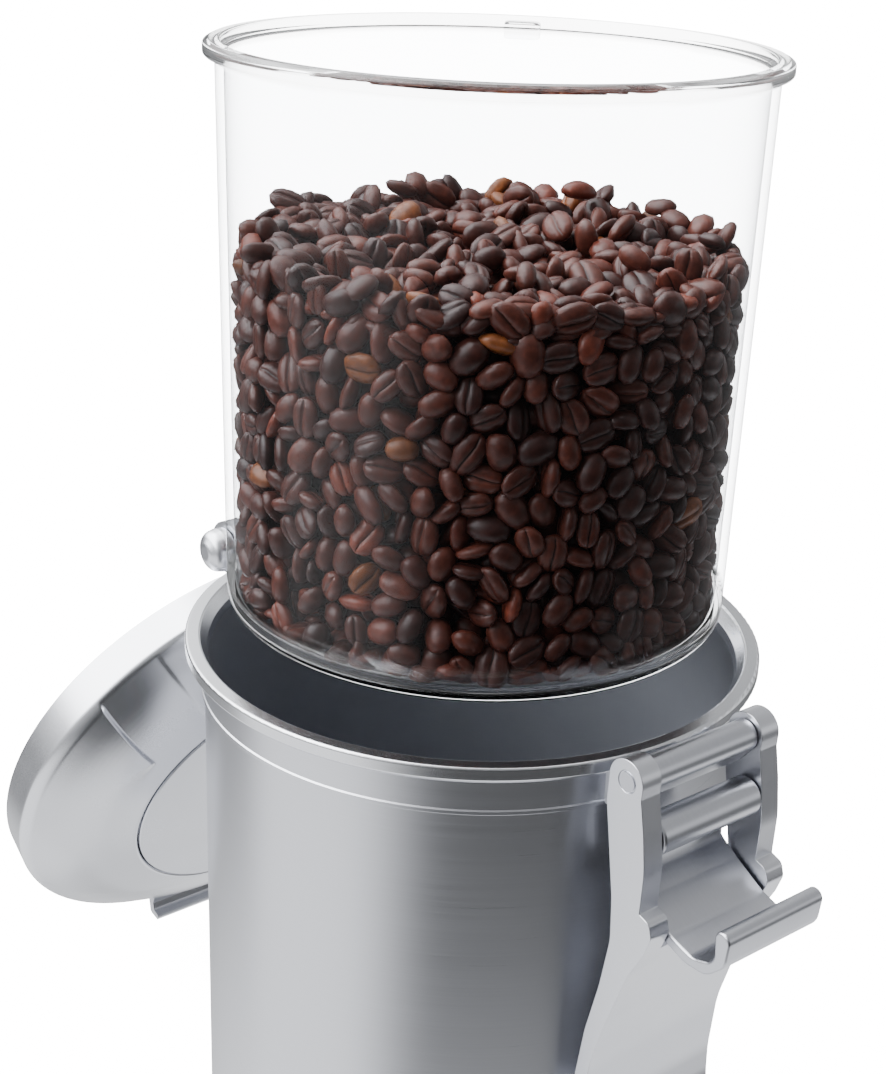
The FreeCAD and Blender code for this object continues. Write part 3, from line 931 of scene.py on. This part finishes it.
class CANISTER_OT_lid(bpy.types.Operator):
    """Make the pressed lid with its raised side pads, swung to the open pose"""

    bl_idname = "canister.lid"
    bl_label = "Lid"

    def execute(self, context):
        c = context.scene.canister_lid
        t = c.wall
        profile = rounded_profile(
            [
                (c.skirt_radius - t, c.skirt_low, 0.3),
                (c.skirt_radius, c.skirt_low, 0.5),
                (c.shoulder_radius, c.shoulder, 3.0),
                (68.0, c.shoulder + 10.6, 60),
                (c.seat_radius + 0.4, c.top, 2.0),
                (c.seat_radius + 0.4, c.top - t, 0.1),
                (c.seat_radius, c.top - 1.2 * t, 0.1),
                (67.0, c.shoulder + 10.6 - 1.2 * t, 60),
                (c.shoulder_radius - t, c.shoulder - 0.8, 2.0),
            ],
            10,
        )
        profile = evened(profile, 0.75)
        half = np.concatenate([np.arange(lo, hi, step) for lo, hi, step in LID_STATIONS])
        angles = np.radians(np.concatenate([half, -half[:0:-1]]) - 90)
        verts, faces = lathe(profile, angles=angles)
        r = np.hypot(verts[:, 0], verts[:, 1])
        lift = lid_relief(r, np.degrees(np.abs(np.arctan2(verts[:, 0], -verts[:, 1]))))
        line = np.interp(r, [c.seat_radius, 68.0, c.shoulder_radius], [c.top, c.shoulder + 10.6, c.shoulder])
        outer = (verts[:, 2] > line - 0.8 * t) & (verts[:, 2] > c.shoulder - 2.5)
        lift = np.where(outer, lift, 0.0)
        verts[:, 2] += lift * 0.9
        verts[:, :2] *= (1 + lift * 0.35 / r)[:, None]
        verts = verts * MM
        verts[:, 2] += RIM_Z
        hinge = np.array(HINGE["pos_m"])
        rest = verts - hinge
        cos, sin = math.cos(-LID_SWING), math.sin(-LID_SWING)
        turned = np.column_stack([rest[:, 0], rest[:, 1] * cos - rest[:, 2] * sin, rest[:, 1] * sin + rest[:, 2] * cos])
        lid = new_object("lid_pressing", turned + hinge, faces, 32, bpy.data.materials["lid_satin"])
        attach(lid, "lid")
        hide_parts("lid_shell")
        return {"FINISHED"}


class CANISTER_OT_tab(bpy.types.Operator):
    """Make the small thumb tab inside the container's rim"""

    bl_idname = "canister.tab"
    bl_label = "Tab"

    def execute(self, context):
        c = context.scene.canister_container
        rows, columns = 25, 36
        across = np.sin(np.linspace(-math.pi / 2, math.pi / 2, rows))[:, None]
        turn = np.linspace(0, 2 * math.pi, columns, endpoint=False)[None]
        full = (1 - np.abs(across) ** 8) ** (1 / 8)

        def power(v):
            return np.sign(v) * np.abs(v) ** 0.35

        radius = c.top_radius - c.wall - 0.3 + 0.9 * power(np.cos(turn)) * full
        height = c.height - 1.2 - c.tab_height / 2 + c.tab_height / 2 * power(np.sin(turn)) * full
        angle = c.tab_angle + across * c.tab_width / 2 / c.top_radius + 0 * turn
        verts = np.stack([radius * np.cos(angle), radius * np.sin(angle), height], -1).reshape(-1, 3) * MM
        verts[:, 2] += CUP_LOW.z
        quads = grid_faces(rows, columns, wrap_columns=True)
        tab = new_object("container_tab", verts, quads, 50, bpy.data.materials["clear_cup"])
        outward(tab.data)
        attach(tab, "container")
        return {"FINISHED"}


class CANISTER_OT_beans(bpy.types.Operator):
    """Fill the container with loose beans against the wall, on top and on the base, over a dark core of painted shade
    """

    bl_idname = "canister.beans"
    bl_label = "Beans"

    def execute(self, context):
        b = context.scene.canister_beans
        rng = np.random.default_rng(SEED)
        base = cup().base
        made = [
            wall_beans("beans_wall_outer", rng, b.outer, 0.3, base + 3.0, b.level - 2.0),
            wall_beans("beans_wall_inner", rng, b.inner, 5.4, base + 4.0, b.level - 4.0),
            level_beans("beans_heap", rng, b.heap, 61.5, b.level, (0.01, 0.02), 2.3, 0.75, 0.5),
            level_beans("beans_under", rng, b.under, 61.0, b.level - 5.0, (0.01, 0.02), 1.2, 0.45, 0.5),
            level_beans("beans_floor", rng, b.floor, 60.5, base + 3.0, (0.0, 0.0), 0.4, 0.15, 0.5),
        ]
        for piece in made:
            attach(piece, "container")
        # A dark core under the outer beans: painted shade, darker than any bean, that shows in the gaps between them.
        core = rounded_profile(
            [(0.01, 8.0, 0), (54.0, 8.0, 4.0), (55.0, b.level - 10.0, 6.0), (0.01, b.level - 8.0, 0)], 4
        )
        verts, faces = lathe(core, 96)
        wave = 0.8 * np.sin(verts[:, 2] * 0.9 + 3.0 * np.sin(np.arctan2(verts[:, 1], verts[:, 0]) * 17))
        verts[:, :2] *= (1 + wave / 60.0)[:, None]
        verts[:, 2] += CUP_LOW.z / MM
        shade_core = new_object("beans_painted_shade_core", verts * MM, faces, 40, bpy.data.materials["roasted_skin"])
        # painted shade: one very dark colour on every vertex of the core
        paint(shade_core, np.tile((0.014, 0.007, 0.005, 1.0), len(verts)))
        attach(shade_core, "container")
        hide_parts("bean_fill")
        return {"FINISHED"}


class CANISTER_OT_stage(bpy.types.Operator):
    """Set the pale floor, the soft studio light and the camera"""

    bl_idname = "canister.stage"
    bl_label = "Stage"

    def execute(self, context):
        floor_mesh = bpy.data.meshes.new("floor")
        t = np.linspace(0, 2 * math.pi, 128, endpoint=False)
        ring = np.column_stack([3.0 * np.cos(t), 3.0 * np.sin(t), np.full(128, -0.0004)])
        floor_mesh.from_pydata(ring.tolist(), [], [list(range(128))])
        floor = bpy.data.objects.new("floor", floor_mesh)
        context.scene.collection.objects.link(floor)
        floor_mesh.materials.append(
            principled(
                "pale_floor",
                lambda g: {"Base Color": g.mix(g.noise(g.place(), 6.0), (0.88, 0.88, 0.89, 1), (0.92, 0.92, 0.93, 1))},
                {"Roughness": 0.6, "Emission Color": (1.0, 1.0, 1.0, 1.0), "Emission Strength": FLOOR_GLOW},
            )
        )
        floor.visible_diffuse = floor.visible_glossy = floor.visible_transmission = False
        world = bpy.data.worlds.new("studio")
        context.scene.world = world
        graph = Graph(world)
        x, y, z = graph.parts(graph.add("ShaderNodeTexCoord", out=0))
        right = x * math.cos(CAM_TURN) + y * math.sin(CAM_TURN)
        near = x * math.sin(CAM_TURN) - y * math.cos(CAM_TURN)
        bearing = graph.add("ShaderNodeMath", {"operation": "ARCTAN2"}, {0: right, 1: near}) * (180 / math.pi)
        left = bearing.step(-8.0, -50.0)
        left_side = bearing.step(-178.0, -110.0) * left
        rightward = bearing.step(56.0, 80.0)
        away = left + rightward
        front = 1 - away
        key = left_side * bearing.step(-28.0, -62.0) * z.step(0.12, 0.34) * z.step(0.985, 0.90)
        shade = 1 - bearing.step(-90.0, -106.0) * z.step(-0.66, -0.44) * z.step(0.16, 0.03) * 0.86
        table = front * z.step(-0.60, -0.84) * 1.45
        table_left = left * z.step(-0.20, -0.36) * (0.86 + left_side * 0.72 - z.step(-0.75, -0.95) * 0.2)
        table_right = rightward * z.step(-0.46, -0.62) * (1.3 - z.step(-0.80, -0.96) * 0.35)
        line_left = left * z.step(-0.26, -0.02) * 0.66
        line_right = rightward * z.step(-0.16, 0.05) * z.step(0.42, 0.2) * 0.85
        sky = z.step(0.10, 0.50) * (0.34 + left * 0.42)
        glow = 0.075 + (away * 0.15 + table_left + line_left) * shade + key * 8.0 + table + table_right + line_right + sky
        light = graph.add("ShaderNodeBackground", None, {"Color": (0.975, 0.985, 1.0, 1.0), "Strength": glow})
        paper = graph.add("ShaderNodeBackground", None, {"Color": (1.0, 1.0, 1.0, 1.0), "Strength": PAPER_GLOW})
        path = graph.add("ShaderNodeLightPath").socket.node
        through = Signal(graph, path.outputs["Is Transmission Ray"])
        straight = Signal(graph, path.outputs["Diffuse Depth"]).step(0.6, 0.4) * Signal(
            graph, path.outputs["Glossy Depth"]
        ).step(0.6, 0.4)
        seen = graph.add(
            "ShaderNodeMath",
            {"operation": "MAXIMUM"},
            {0: Signal(graph, path.outputs["Is Camera Ray"]), 1: through * straight},
        )
        graph.finish(
            graph.add("ShaderNodeMixShader", None, {0: seen, 1: light, 2: paper}), "ShaderNodeOutputWorld"
        )
        lamp = bpy.data.lights.new("top_softbox", "AREA")
        lamp.shape = "SQUARE"
        lamp.size = 1.2
        lamp.energy = 13.0
        holder = bpy.data.objects.new("top_softbox", lamp)
        holder.location = (0.1, 0.35, 1.4)
        aim = Vector((0.0, 0.0, 0.2)) - holder.location
        holder.rotation_euler = aim.to_track_quat("-Z", "Y").to_euler()
        context.scene.collection.objects.link(holder)
        lens = bpy.data.cameras.new("camera")
        lens.sensor_width = 36.0
        lens.lens = 59.05
        lens.clip_start = 0.01
        camera = bpy.data.objects.new("camera", lens)
        context.scene.collection.objects.link(camera)
        context.scene.camera = camera
        pitch, yaw, roll = 0.3875, -0.0204, 0.03777
        ahead = np.array((math.sin(yaw) * math.cos(pitch), math.cos(yaw) * math.cos(pitch), -math.sin(pitch)))
        level = np.array((math.cos(yaw), -math.sin(yaw), 0.0))
        above = np.cross(level, ahead)
        side = math.cos(roll) * level + math.sin(roll) * above
        above = -math.sin(roll) * level + math.cos(roll) * above
        basis = Matrix(np.column_stack([side, above, -ahead]).tolist()).to_4x4()
        stand = Matrix.Translation((0.0, -0.44909, RIM_Z + 0.21006))
        camera.matrix_world = Matrix.Rotation(CAM_TURN, 4, "Z") @ stand @ basis
        return {"FINISHED"}


class CANISTER_PT_panel(bpy.types.Panel):
    """The canister's sizes, finishes and steps"""

    bl_label = "Coffee canister"
    bl_idname = "CANISTER_PT_panel"
    bl_space_type = "VIEW_3D"
    bl_region_type = "UI"
    bl_category = "Canister"

    def draw(self, context):
        for group in settings():
            box = self.layout.box()
            for key in group.__annotations__:
                box.prop(group, key)
        for step in STEPS:
            self.layout.operator(step.bl_idname)


GROUPS = {
    "canister_clamp": CANISTER_PG_clamp,
    "canister_lid": CANISTER_PG_lid,
    "canister_container": CANISTER_PG_container,
    "canister_beans": CANISTER_PG_beans,
    "canister_finish": CANISTER_PG_finish,
}
STEPS = (
    CANISTER_OT_finishes,
    CANISTER_OT_lid,
    CANISTER_OT_lever,
    CANISTER_OT_hook,
    CANISTER_OT_container,
    CANISTER_OT_tab,
    CANISTER_OT_beans,
    CANISTER_OT_stage,
)


def register():
    for cls in (*GROUPS.values(), *STEPS, CANISTER_PT_panel):
        bpy.utils.register_class(cls)
    for key, cls in GROUPS.items():
        setattr(bpy.types.Scene, key, bpy.props.PointerProperty(type=cls))


def unregister():
    for key in GROUPS:
        delattr(bpy.types.Scene, key)
    for cls in (CANISTER_PT_panel, *reversed(STEPS), *reversed(list(GROUPS.values()))):
        bpy.utils.unregister_class(cls)


def main():
    """Make every piece in order."""
    register()
    bpy.ops.canister.finishes()
    bpy.ops.canister.lid()
    bpy.ops.canister.lever()
    bpy.ops.canister.hook()
    bpy.ops.canister.container()
    bpy.ops.canister.tab()
    bpy.ops.canister.beans()
    bpy.ops.canister.stage()


if __name__ == "__main__":
    main()
